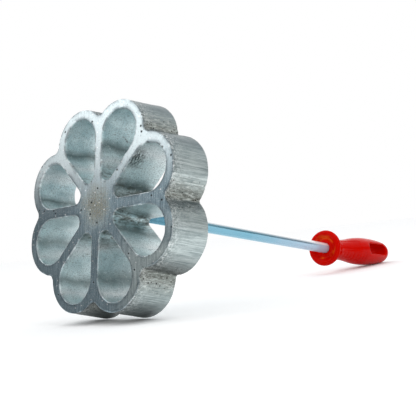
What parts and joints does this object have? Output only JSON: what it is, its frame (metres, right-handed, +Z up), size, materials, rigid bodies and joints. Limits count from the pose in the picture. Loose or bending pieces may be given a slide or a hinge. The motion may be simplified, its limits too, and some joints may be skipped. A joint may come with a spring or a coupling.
{
  "type": "rosette iron",
  "caption": "Cast flower-shaped fritter mould with open petals, screwed on a threaded steel rod with a guarded moulded handle.",
  "frame": {"origin": "bottom centre of the bounding box, with the iron lying on the mould's lower back edge and the grip", "axes": "+Y from the mould towards the handle, +Z up, +X to the right seen from the mould's front"},
  "size_m": [0.1186, 0.3386, 0.1187],
  "materials": {
    "cast_aluminium": "sand cast, ground front face",
    "zinc_steel": "blue zinc plated",
    "red_plastic": "glossy moulded"
  },
  "bodies": {
    "rod_and_handle": {"rod": "zinc_steel", "handle": "red_plastic"},
    "lock_nut": {"lock_nut": "zinc_steel"},
    "mould": {"mould": "cast_aluminium"}
  },
  "joints": [
    {"name": "lock_nut_turn", "type": "hinge", "parent": "rod_and_handle", "child": "lock_nut", "pos_m": [0, -0.13204, 0.05776], "axis": [0, -0.9837, 0.1798], "range_deg": [0, 5040]},
    {"name": "mould_advance", "type": "slide", "parent": "lock_nut", "child": "mould", "axis": [0, -0.9837, 0.1798], "range_m": [0, 0.0175]}
  ],
  "couplings": [
    {"joint": "mould_advance", "follows": "lock_nut_turn", "m_per_rad": 0.00019894}
  ]
}
